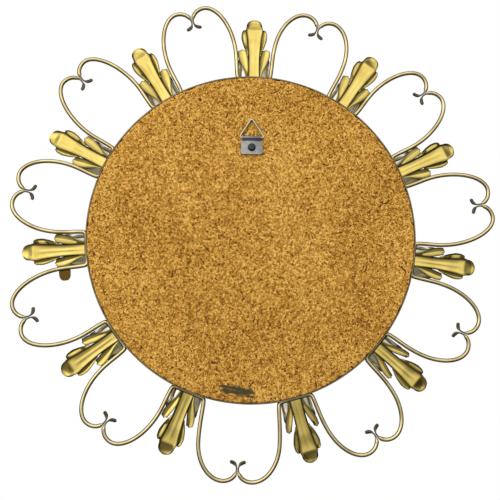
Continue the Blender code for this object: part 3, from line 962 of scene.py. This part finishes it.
@dataclass
class Scrolls:
    """The eleven brackets, each one rod swept along its path by Geometry Nodes.

    Args:
        base: Width of a bracket's base between the legs' middles.
        bend: Radius of the bends at the base.
        widest: How far outside the hoop a leg is widest from its heart's axis.
        spread: Fixed part of that widest place.
        spread_share: Part of it that grows with the base's corner.
        rise: How far the lobes rise above the cusp.
        top: Distance of a lobe's top from the heart's axis.
        neck: Width of the rod at its neck.
        neck_depth: Depth of the rod at its neck.
        neck_length: How far the neck runs along the heart's axis.
        curl: Radius of the curl.
        sweep: Angle of the curl in degrees.
        paddle: Width of the hammered end.
        paddle_depth: Depth of the hammered end.
    """

    base: float = 34.8
    bend: float = 3.5
    widest: float = 40.0
    spread: float = 21.0
    spread_share: float = 0.54
    rise: float = 8.5
    top: float = 14.6
    neck: float = 1.6
    neck_depth: float = 2.8
    neck_length: float = 1.0
    curl: float = 6.8
    sweep: float = 95.0
    paddle: float = 3.8
    paddle_depth: float = 1.4

    def section(self, lateral: float) -> tuple[float, float]:
        """Find the width and the depth of the rod before its neck.

        Args:
            lateral: Distance of the rod's middle from the heart's axis.

        Returns:
            Width and depth.
        """
        width = min(ROD, max(self.neck, 2 * lateral - BODY.gap))
        drawn = (ROD - width) / (ROD - self.neck)
        return width, ROD + (self.neck_depth - ROD) * drawn

    @staticmethod
    def arc(middle: Vector, radii: tuple, start: float, end: float, steps: int) -> list[Vector]:
        """Return points on an elliptic arc between two angles in degrees, both ends included."""
        angles = np.radians(np.linspace(start, end, steps + 1))
        return [middle + Vector((radii[0] * math.cos(a), radii[1] * math.sin(a))) for a in angles]

    def leg(self, half_gap: float) -> list[Vector]:
        """Lay the middle line of a leg in the heart's frame.

        Args:
            half_gap: Half the angle between the two brackets of the heart, in radians.

        Returns:
            Points from the base's corner to the place where the heart is widest.
        """
        rod_path = BODY.band_outer + BODY.gap + ROD / 2
        half_base = math.atan2(self.base / 2, rod_path)
        bearing = half_gap - half_base
        corner = Vector((math.cos(bearing), math.sin(bearing))) * rod_path / math.cos(half_base)
        widest = Vector((BODY.hoop_outer + self.widest, self.spread + self.spread_share * corner.y))
        along = Vector((-math.sin(half_gap), math.cos(half_gap)))
        way = (widest - corner).normalized()
        start, end = corner + along * self.bend, corner + way * self.bend
        points = [start]
        for t in np.linspace(0, 1, 7)[1:]:
            points.append(start * (1 - t) ** 2 + corner * 2 * t * (1 - t) + end * t ** 2)
        span = (widest - end).length
        near, far = end + way * span * 0.35, widest - Vector((span * 0.4, 0))
        for t in np.linspace(0, 1, 24)[1:]:
            s = 1 - t
            points.append(end * s ** 3 + near * 3 * s * s * t + far * 3 * s * t * t + widest * t ** 3)
        return points

    def half_heart(self, half_gap: float, cusp: float) -> list[tuple]:
        """Lay the stations of half a bracket in the heart's frame: (point, width, depth, darkness).

        Args:
            half_gap: Half the angle between the two brackets of the heart, in radians.
            cusp: Radius of the heart's cusp about the mirror's middle.

        Returns:
            The stations, from the base's corner to the curl's end.
        """
        points = self.leg(half_gap)
        widest = points.pop()
        lobe = cusp + self.rise
        points += self.arc(Vector((widest.x, self.top)), (lobe - widest.x, widest.y - self.top), 90, 0, 28)
        stations = [(point, ROD, ROD, 0.0) for point in points]

        # Painted shade from here on: the stations darken as the rod narrows at its neck, where the two halves
        # crowd together, and stay dark over the curl
        side = self.neck / 2 + BODY.gap / 2
        inner = Vector((cusp - self.rise * 0.4, self.top))
        for point in self.arc(inner, (lobe - inner.x, self.top - side), 0, -90, 20)[1:]:
            width, depth = self.section(point.y)
            stations.append((point, width, depth, 0.75 * smooth(3.4, 1.2, width)))
        middle = Vector((inner.x - self.neck_length, side + self.curl))
        steps = 18
        for i, point in enumerate(self.arc(middle, (self.curl, self.curl), -90, -90 - self.sweep, steps)):
            share = i / steps
            grown = smooth(0.12, 0.58, share)
            rounded = math.sqrt(max(1 - max(0.0, (share - 0.86) / 0.145) ** 2, 0.0))
            width = (self.neck + (self.paddle - self.neck) * grown) * max(rounded, 0.22)
            depth = self.neck_depth + (self.paddle_depth - self.neck_depth) * grown
            stations.append((point, width, depth, 0.75 + 0.2 * grown))
        return stations

    def path(self, number: int) -> list[tuple]:
        """Lay the stations of a whole bracket in its own frame.

        Args:
            number: Number of the bracket, from 0.

        Returns:
            The stations, from one curl's end to the other.
        """
        halves = []
        for side, other, heart in ((-1, number - 1, number - 1), (1, (number + 1) % len(BEARINGS), number)):
            angle = math.radians((side * (BEARINGS[other] - BEARINGS[number])) % 360) / 2
            half = []
            for point, *section in self.half_heart(angle, CUSP + HEART_TRIMS[heart]):
                x = point.x * math.cos(angle) + point.y * math.sin(angle)
                y = point.x * math.sin(angle) - point.y * math.cos(angle)
                half.append((Vector((x, y * side, 0)), *section))
            halves.append(half)
        return halves[0][::-1] + halves[1]

    def build(self, finishes: dict, tree: NodeTree) -> None:
        """Build the brackets.

        Args:
            finishes: Materials by name.
            tree: The sweeping node tree.
        """
        for number, bearing in enumerate(BEARINGS):
            node = f"scroll_{number + 1:02d}"
            place = bracket_matrix(bearing, ROD_SETBACK)
            mesh = swept(node, self.path(number), tree, finishes["ROD"], place)
            add_piece(f"rod_{number + 1:02d}", mesh, finishes["ROD"], "mirror", node)


@dataclass
class Sheet:
    """A leaf's surface while it is built: points by name, faces and each point's paint.

    Args:
        place: Function of (u, v, lift) that gives a point in the bracket's frame.
    """

    place: Callable
    points: list = field(default_factory=list)
    faces: list = field(default_factory=list)
    paint: list = field(default_factory=list)
    known: dict = field(default_factory=dict)

    def add(self, key: tuple, spot: tuple, dark: float = 0.0, tab_shade: float = 0.0, flap_reflection: float = 0.0) -> None:
        """Add a point unless its key is known.

        Args:
            key: Its region, side, row and column.
            spot: Its share of the length, its share of the half width and its lift.
            dark: How much painted shade it carries.
            tab_shade: How much of the tab's painted shade it carries.
            flap_reflection: How much of the flap's painted reflection it carries.
        """
        if key not in self.known:
            self.known[key] = len(self.points)
            self.points.append(self.place(*spot))
            self.paint.append((dark, tab_shade, flap_reflection))

    def hem(self, key: tuple, other: tuple) -> None:
        """Let a key stand for a point of another region, so that both share it."""
        self.known[key] = self.known[other]

    def weave(self, region: str, side: int, rows: Iterable, columns: int) -> None:
        """Join a region's points by faces.

        Args:
            region: The region.
            side: Its side.
            rows: Its rows, each joined to the next.
            columns: How many faces lie in a row.
        """
        for i in rows:
            for c in range(columns):
                corners = ((i, c), (i, c + 1), (i + 1, c + 1), (i + 1, c))
                self.faces.append([self.known[(region, side, *corner)] for corner in corners])


@dataclass
class Leaves:
    """The stamped acanthus leaves.

    Lengths along a leaf are shares of its length, and widths are shares of half its width.

    Args:
        length: Length of a leaf in millimetres.
        half: Half its greatest width in millimetres.
        sheet: Thickness of its sheet in millimetres.
        notch: Where the upper lobes part from the lower ones.
        trough: Half width of the middle channel along the leaf.
        flank: Half width out to the upper lobes' edge.
        lobe: Half width out to the lower lobes' fold.
        flap: Half width out to the edge of the root's flap.
        flap_end: Where the flap ends.
        parted: How far each leaf's lower lobes stand apart from its blade at their tips.
        tab_leaf: Number of the leaf whose lobe has a tab under the leg.
        tab: Reach of that tab in half widths.
    """

    length: float = 71.0
    half: float = 18.5
    sheet: float = 0.8
    notch: float = 0.47
    trough: tuple = (
        (0.0, 0.33), (0.16, 0.325), (0.32, 0.335), (0.46, 0.36), (0.58, 0.40), (0.70, 0.45), (0.80, 0.495),
        (0.835, 0.49), (0.862, 0.452), (0.89, 0.445), (0.93, 0.40), (0.965, 0.30), (0.988, 0.18), (1.0, 0.07),
    )
    flank: tuple = (
        (0.42, 0.36), (0.47, 0.46), (0.52, 0.55), (0.62, 0.69), (0.70, 0.755), (0.77, 0.735), (0.83, 0.60),
    )
    lobe: tuple = ((0.0, 0.34), (0.155, 0.50), (0.22, 0.64), (0.30, 0.80), (0.40, 0.93), (0.47, 0.95))
    flap: tuple = ((0.0, 0.84), (0.2, 0.87), (0.36, 0.905))
    flap_end: float = 0.36
    parted: tuple = (0.08, 0.08, 0.10, 0.10, 0.12, 0.18, 0.25, 0.23, 0.15, 0.10, 0.08)
    tab_leaf: int = 3
    tab: float = 1.73

    def place(self, u: float, v: float, lift: float) -> tuple:
        """Place a point of the sheet in the bracket's frame."""
        root = BODY.band_outer + BODY.gap
        return root + self.length * u, self.half * v, -(self.sheet / 2 + 0.1 + lift)

    @staticmethod
    def tip_curl(u: float) -> float:
        """Tell how far the leaf has curled forward at a share of its length."""
        return 0.6 * smooth(0.55, 0.80, u) + 4.2 * smooth(0.82, 1.08, u)

    def trough_lift(self, u: float, s: float, bow: float) -> float:
        """Lift the middle channel.

        Args:
            u: Share of the leaf's length.
            s: Share of the channel's half width.
            bow: Small change of the relief that tells leaves apart.

        Returns:
            The lift in millimetres.
        """
        bed = (0.8 + 0.5 * smooth(0.0, 0.45, u) - 0.3 * smooth(0.62, 0.9, u)) * bow * (1 - abs(s) ** 9)
        bulb = 1.3 * smooth(0.815, 0.905, u) * (1 - smooth(0.92, 1.0, u)) * (1 - s * s)
        fluted = smooth(0.0, 0.3, u) * (1 - smooth(0.68, 0.82, u)) * (1 - abs(s) ** 4)
        return 0.2 + bed + bulb + 0.24 * abs(math.sin(s * math.pi * 1.5)) * fluted + self.tip_curl(u)

    @staticmethod
    def fold(share: float) -> float:
        """Return the height of a lobe's fold at a share of its width, with a crease along its middle."""
        return 0.45 * math.sin(math.pi * share) + 0.55 * (1 - abs(2 * share - 1))

    def lay_blade(self, sheet: Sheet, rows: list, bow: float) -> None:
        """Lay the middle channel from the root to the tip.

        Args:
            sheet: The leaf's surface.
            rows: The rows' shares of the length.
            bow: The leaf's change of relief.
        """
        for i, u in enumerate(rows):
            half = through(self.trough, u)
            ring = 0.4 * math.exp(-((u - 0.85) / 0.012) ** 2)
            for c in range(BLADE_STEPS + 1):
                s = 2 * c / BLADE_STEPS - 1
                rounded = 0.008 * s * s * smooth(0.95, 1.0, u)
                # Painted shade along the channel's creased edges, and a thin line of it in the crease where
                # the bulb begins
                rim = {0: 0.95, 1: 0.3}.get(min(c, BLADE_STEPS - c), 0.0)
                dark = rim if 0.04 < u < 0.84 else ring
                sheet.add(("blade", 0, i, c), (u - rounded, half * s, self.trough_lift(u, s, bow)), dark)
        sheet.weave("blade", 0, range(len(rows) - 1), BLADE_STEPS)

    def lay_lobe(self, sheet: Sheet, low: list, side: int, bow: float, parted: float) -> None:
        """Lay a lower lobe, which a slit parts from the blade.

        Args:
            sheet: The leaf's surface.
            low: The rows up to the notch.
            side: -1 or 1.
            bow: The leaf's change of relief.
            parted: How far the lobe stands apart from the blade at its tip.
        """
        slit = 0.38 - 0.7 * parted
        for i, u in enumerate(low):
            inner = through(self.trough, u) + parted * smooth(slit, self.notch + 0.05, u) * 1.3
            wide = through(self.lobe, u) - inner
            rise = (u / self.notch) ** 3
            if u <= slit:
                sheet.hem(("lobe", side, i, 0), ("blade", 0, i, BLADE_EDGE[side]))
            for c in range(LOBE_STEPS + 1):
                share = c / LOBE_STEPS
                tip = 0.036 * math.sin(math.pi * (0.06 + 0.86 * share)) ** 0.6 - 0.018 * share ** 6
                tip += 0.006 * math.cos(4 * math.pi * share)
                fold = 1.4 * self.fold(share) * (0.45 + 0.55 * u / self.notch)
                lift = 0.2 + (fold + 0.5 * share ** 3) * bow
                # Painted shade along the lobe's two edges and its end
                rim = {0: 0.95, 1: 0.75, 2: 0.2}.get(min(c, LOBE_STEPS - c), 0.0)
                dark = 0.95 if i == len(low) - 1 else rim
                sheet.add(("lobe", side, i, c), (u + tip * rise, (inner + wide * share) * side, lift), dark)
        sheet.weave("lobe", side, range(len(low) - 1), LOBE_STEPS)

    def lay_flap(self, sheet: Sheet, low: list, side: int) -> None:
        """Lay the flap beside the leaf's root, all of it in a pale painted reflection.

        Args:
            sheet: The leaf's surface.
            low: The rows up to the notch.
            side: -1 or 1.
        """
        rows = [i for i, u in enumerate(low) if u <= self.flap_end]
        for i in rows:
            sheet.hem(("flap", side, i, 0), ("lobe", side, i, LOBE_STEPS))
            inner = through(self.lobe, low[i])
            wide = max(through(self.flap, low[i]) - inner, 0.012)
            # Painted reflection: the flap's points are laid pale grey, after the white surroundings
            for c in range(1, 4):
                fall = 0.045 * (low[i] / self.flap_end) ** 4 * c / 3
                spot = (low[i] - fall, (inner + wide * c / 3) * side, 0.7 + 0.75 * c)
                # Painted shade along the flap's outer edge
                sheet.add(("flap", side, i, c), spot, 0.25 * (c == 3), flap_reflection=1.0)
        sheet.weave("flap", side, rows[:-1], 3)

    def lay_flank(self, sheet: Sheet, rows: list, side: int, bow: float) -> None:
        """Lay an upper lobe beside the blade.

        Args:
            sheet: The leaf's surface.
            rows: The rows' shares of the length.
            side: -1 or 1.
            bow: The leaf's change of relief.
        """
        span = [i for i, u in enumerate(rows) if self.flank[0][0] <= u <= self.flank[-1][0]]
        for i in span:
            u = rows[i]
            sheet.hem(("flank", side, i, 0), ("blade", 0, i, BLADE_EDGE[side]))
            inner = through(self.trough, u)
            wide = max(through(self.flank, u) - inner, 0.01)
            for c in range(1, 7):
                share = c / 6
                fold = 1.25 * self.fold(share) * smooth(self.flank[0][0], 0.56, u)
                lift = 0.2 + (fold + 0.7 * share ** 2) * bow + self.tip_curl(u)
                # Painted shade along the upper lobe's outline and its end
                dark = 0.95 if c == 6 or i == span[-1] else 0.6 * (c == 5)
                sheet.add(("flank", side, i, c), (u, (inner + wide * share) * side, lift), dark)
        sheet.weave("flank", side, span[:-1], 6)

    def lay_tab(self, sheet: Sheet, low: list) -> None:
        """Lay the tab beside a lower lobe, all of it in painted shade.

        Args:
            sheet: The leaf's surface.
            low: The rows up to the notch.
        """
        rows = [i for i, u in enumerate(low) if 0.28 < u < 0.455]
        for k, i in enumerate(rows):
            sheet.hem(("tab", 1, i, 0), ("lobe", 1, i, LOBE_STEPS))
            inner = through(self.lobe, low[i])
            middle = 2 * k / (len(rows) - 1) - 1
            reach = self.tab - inner - 0.22 * abs(middle) ** 4
            for c in range(1, 9):
                # Painted shade along the tab's outline
                dark = 0.6 if c == 8 or abs(middle) == 1 else 0.0
                u = low[i] + middle * 0.008 * math.sin(math.pi * c / 9)
                # Painted shade: every point of the tab is laid in the dark colour of a lobe's tip in shade
                sheet.add(("tab", 1, i, c), (u, inner + reach * c / 8, 0.7 + 0.1 * c), dark, tab_shade=1.0)
        sheet.weave("tab", 1, rows[:-1], 8)

    def lay_sheet(self, number: int) -> Sheet:
        """Lay a leaf's whole surface in its bracket's frame.

        Args:
            number: Number of the leaf, from 0.

        Returns:
            The surface.
        """
        bow = 1.0 + 0.10 * math.sin(number * 2.4 + 0.6)
        low = list(np.linspace(0, self.notch, 25))
        rows = low + list(self.notch + (1 - self.notch) * np.linspace(0, 1, 37) ** 0.85)[1:]
        sheet = Sheet(self.place)
        self.lay_blade(sheet, rows, bow)
        for side in (-1, 1):
            self.lay_lobe(sheet, low, side, bow, self.parted[number])
            self.lay_flap(sheet, low, side)
            self.lay_flank(sheet, rows, side, bow)
        if number == self.tab_leaf:
            self.lay_tab(sheet, low)
        return sheet

    def build(self, finishes: dict) -> None:
        """Build the leaves.

        Args:
            finishes: Materials by name.
        """
        for number, bearing in enumerate(BEARINGS):
            node = f"leaf_{number + 1:02d}"
            sheet = self.lay_sheet(number)
            mesh = to_mesh(node, sheet.points, sheet.faces, bracket_matrix(bearing, LEAF_BACK))
            for label, values in zip(("dark", "tab_shade", "flap_reflection"), zip(*sheet.paint)):
                mesh.attributes.new(label, "FLOAT", "POINT").data.foreach_set("value", values)
            mesh = settled(sheet_object(mesh, self.sheet))
            dress_faces(mesh, 42.0)
            add_piece(f"acanthus_{number + 1:02d}", mesh, finishes["LEAF"], "mirror", node)


@dataclass
class HangerSet:
    """Plate, ring and screw.

    Args:
        sizes: Their sizes.
    """

    sizes: Hanger = HANGER

    def build(self, finishes: dict, tree: NodeTree) -> None:
        """Build the three pieces.

        Args:
            finishes: Materials by name.
            tree: The sweeping node tree.
        """
        self.build_plate(finishes["PLATE"])
        self.build_ring(finishes["WIRE"], tree)
        self.build_screw(finishes["SCREW"])

    def plate_line(self) -> list[tuple]:
        """Lay the plate's fold as seen from its side.

        Returns:
            Stations of depth and height from the bar, and how far the strip is narrower on each side.
        """
        h = self.sizes
        under = -h.loop
        over = under + h.sheet + BODY.gap
        meet = -math.sqrt(h.loop ** 2 - over ** 2) - h.sheet
        corner, tuck = 1.2, (h.plate - h.neck) / 2
        strip = [(-h.drop, corner), (-h.drop + 0.35, 0.75), (-h.drop + 0.9, 0.2), (-h.drop + corner, 0.0)]
        strip += [(-8.0, 0.0), (-4.4, 0.0), (-3.6, tuck / 3)]
        line = [(under, z, inset) for z, inset in strip + [(-3.0, tuck), (0.0, tuck)]]
        turn = math.radians(220)
        for i in range(1, 25):
            angle = math.pi + turn * i / 24
            line.append((h.loop * math.cos(angle), -h.loop * math.sin(angle), tuck))
        line.append((over, meet - h.sheet, tuck))
        return line + [(over, z, inset) for z, inset in reversed(strip)]

    def build_plate(self, material: Material) -> None:
        """Fold the plate's strip round the bar and pierce it for the screw.

        Args:
            material: Its material.
        """
        h = self.sizes
        columns = 6
        line = self.plate_line()
        points, faces = [], []
        for y, z, inset in line:
            half = h.plate / 2 - inset
            points += [(half * (2 * c / columns - 1), h.bar.y + y, h.bar.z + z) for c in range(columns + 1)]
        for row in range(len(line) - 1):
            for c in range(columns):
                start = row * (columns + 1) + c
                faces.append((start, start + 1, start + columns + 2, start + columns + 1))
        plate = sheet_object(to_mesh("hanger_plate", points, faces), h.sheet, even=True)
        radius, reach = h.shank / 2 + BODY.gap, 12
        peg = [(0, reach), (radius, reach), (radius, -reach), (0, -reach)]
        mesh = cut_out(plate, [turned("peg", peg, 48, wallward(0, h.bar.y, h.bar.z - h.screw_drop))])
        dress_faces(mesh)
        add_piece("plate", mesh, material, "mirror", "hanger_plate")

    def build_ring(self, material: Material, tree: NodeTree) -> None:
        """Sweep the ring's wire round its triangle, leaning on the board.

        Args:
            material: Its material.
            tree: The sweeping node tree.
        """
        h = self.sizes
        corners = (Vector((-h.width / 2, 0)), Vector((h.width / 2, 0)), Vector((0, h.height)))
        stations = []
        for i, corner in enumerate(corners):
            before = (corners[i - 1] - corner).normalized()
            after = (corners[(i + 1) % 3] - corner).normalized()
            half = before.angle(after) / 2
            middle = corner + (before + after).normalized() * (h.bend / math.sin(half))
            start = corner + before * (h.bend / math.tan(half)) - middle
            end = corner + after * (h.bend / math.tan(half)) - middle
            sweep = start.angle_signed(end)
            for step in range(9):
                point = middle + Matrix.Rotation(-sweep * step / 8, 2) @ start
                stations.append((Vector((point.x, point.y, 0)), h.wire, h.wire, 0.0))
        place = Matrix.Translation(h.bar) @ Matrix.Rotation(h.lean + math.pi / 2, 4, "X")
        mesh = swept("hanger_ring", stations, tree, material, place, closed=True)
        add_piece("ring", mesh, material, "ring", "hanger_ring")

    def build_screw(self, material: Material) -> None:
        """Turn the screw and cut its cross recess.

        Args:
            material: Its material.
        """
        h = self.sizes
        seat = h.bar.y - h.loop + h.sheet / 2 + BODY.gap + h.sheet + BODY.gap
        head, shank = h.head / 2, h.shank / 2
        profile = [(0, h.head_height)]
        for angle in np.radians(range(15, 91, 15)):
            dome = max(math.cos(angle), 0.0) ** 0.8
            profile.append((head * (0.45 + 0.55 * math.sin(angle)), h.head_height * (0.2 + 0.79 * dome)))
        profile += [(head, 0.25), (head - 0.2, 0.0), (shank, 0.0)]
        z = -0.6
        while z > -h.length * 0.72:
            profile += [(shank - 0.05, z), (shank - 0.45, z - 0.45)]
            z -= 0.9
        profile += [(shank * 0.7, -h.length * 0.8), (0, -h.length)]
        place = wallward(0, seat, h.bar.z - h.screw_drop)
        slot = Matrix.Diagonal((4.4, 0.9, 2.4, 1))
        recess = []
        for turn in (45, 135):
            laid = Matrix.Translation((0, 0, h.head_height)) @ Matrix.Rotation(math.radians(turn), 4, "Z")
            recess.append(box_mesh(place @ laid @ slot))
        mesh = cut_out(loose_object(turned("hanger_screw", profile, 48, place)), recess)
        dress_faces(mesh, 30.0)
        add_piece("screw", mesh, material, "mirror", "hanger_screw")


# Stage, light and camera

def add_lamp(name: str, size: float, power: float, place: tuple, target: tuple) -> None:
    """Add a soft square lamp that no surface mirrors.

    Args:
        name: Its name.
        size: Length of its side in metres.
        power: Its power in watts.
        place: Where it stands.
        target: Where it looks.
    """
    data = bpy.data.lights.new(name, "AREA")
    data.size = size
    data.energy = power
    lamp = bpy.data.objects.new(name, data)
    lamp.visible_glossy = False
    bpy.context.scene.collection.objects.link(lamp)
    lamp.location = place
    lamp.rotation_euler = (Vector(target) - Vector(place)).to_track_quat("-Z", "Y").to_euler()


def make_band(shade: Shade, axis: Socket, stops: tuple) -> Socket:
    """Lay grey levels along one axis of the surroundings, from its low end at 0 to its high end at 1.

    Args:
        shade: The helper of the world's tree.
        axis: The direction's share along the axis, from -1 to 1.
        stops: Pairs of a place and a level.

    Returns:
        The grey level.
    """
    return shade.ramp(shade.span(axis, -1.0, 1.0), *((place, (level,) * 3) for place, level in stops))


def make_world() -> None:
    """Make the surroundings: a pale wall behind the camera, with darker room beside, below and behind it."""
    world = bpy.data.worlds.new("studio")
    bpy.context.scene.world = world
    world.use_nodes = True
    shade = Shade(world.node_tree)
    axes = shade.parts(shade.add("TexCoord").outputs["Generated"])
    across = (
        (0.05, 0.3), (0.20, 0.25), (0.35, 0.85), (0.42, 0.98), (0.50, 1.0),
        (0.64, 1.15), (0.80, 1.0), (0.90, 0.5), (1.0, 0.4),
    )
    deep = ((0.30, 0.05), (0.50, 0.20), (0.68, 0.95), (0.82, 1.35), (0.93, 1.0), (1.0, 0.78))
    upright = (
        (0.05, 0.08), (0.27, 0.12), (0.37, 0.22), (0.45, 0.52), (0.54, 1.0),
        (0.67, 1.15), (0.76, 0.65), (0.86, 0.5), (1.0, 0.9),
    )
    front = ((0.05, 0.50), (0.14, 0.42), (0.20, 0.0))
    light = (1.0, 1.0, 1.0)
    for axis, stops in zip(axes, (across, deep, upright)):
        light = shade.mix(1.0, light, make_band(shade, axis, stops), "MULTIPLY")
    light = shade.mix(1.0, light, make_band(shade, axes[1], front), "ADD")
    background = world.node_tree.nodes["Background"].inputs
    shade.put(background["Color"], light)
    shade.put(background["Strength"], 1.65)


def make_stage() -> None:
    """Surround the mirror with a plain white shell that only the camera sees."""
    bpy.ops.mesh.primitive_uv_sphere_add(segments=48, ring_count=24, radius=7.0)
    shell = bpy.context.object
    shell.name = "backdrop"
    material = bpy.data.materials.new("backdrop_white")
    material.use_nodes = True
    material.node_tree.nodes.clear()
    shade = Shade(material.node_tree)
    glow = shade.add("Emission", {"Color": (1.0, 1.0, 1.0), "Strength": 1.0})
    shade.add("OutputMaterial", {"Surface": glow.outputs["Emission"]})
    shell.data.materials.append(material)
    for kind in ("glossy", "diffuse", "transmission", "shadow"):
        setattr(shell, "visible_" + kind, False)


def make_light() -> None:
    """Light the back softly from above and from both sides."""
    middle = (0, 0, MIDDLE * MM)
    add_lamp("key", 0.9, 13.0, (-0.5, 1.0, 1.2), middle)
    add_lamp("fill", 1.0, 10.0, (1.2, 0.9, 0.1), middle)
    add_lamp("front_key", 0.9, 12.0, (0.5, -1.0, 0.8), middle)


def make_camera() -> None:
    """Stand the camera where the photo was taken: behind the mirror, a little below its middle."""
    middle = Vector((0, BACK, MIDDLE)) * MM
    data = bpy.data.cameras.new("photo")
    data.sensor_width = 36.0
    data.lens = 68.78
    data.shift_x = -0.0034
    data.shift_y = -0.0262
    camera = bpy.data.objects.new("photo", data)
    bpy.context.scene.collection.objects.link(camera)
    camera.location = middle + Vector((0.0407, 0.991, -0.126))
    camera.rotation_euler = (middle - camera.location).to_track_quat("-Z", "Y").to_euler()
    bpy.context.scene.camera = camera


def main() -> None:
    """Build every piece, the surroundings, the stage, the light and the camera."""
    logging.basicConfig(level=logging.INFO, format="%(name)s %(message)s")
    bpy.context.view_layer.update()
    wear = make_wear_group()
    finishes = {finish.name: finish.value.build(wear) for finish in Finish}
    finishes["glass"] = make_glass_material()
    finishes["chipboard"] = make_chipboard_material()
    tree = make_sweep_tree()
    Plates().build(finishes)
    Scrolls().build(finishes, tree)
    Leaves().build(finishes)
    HangerSet().build(finishes, tree)
    make_world()
    make_stage()
    make_light()
    make_camera()
    bpy.context.scene.view_settings.view_transform = "Standard"


if __name__ == "__main__":
    main()
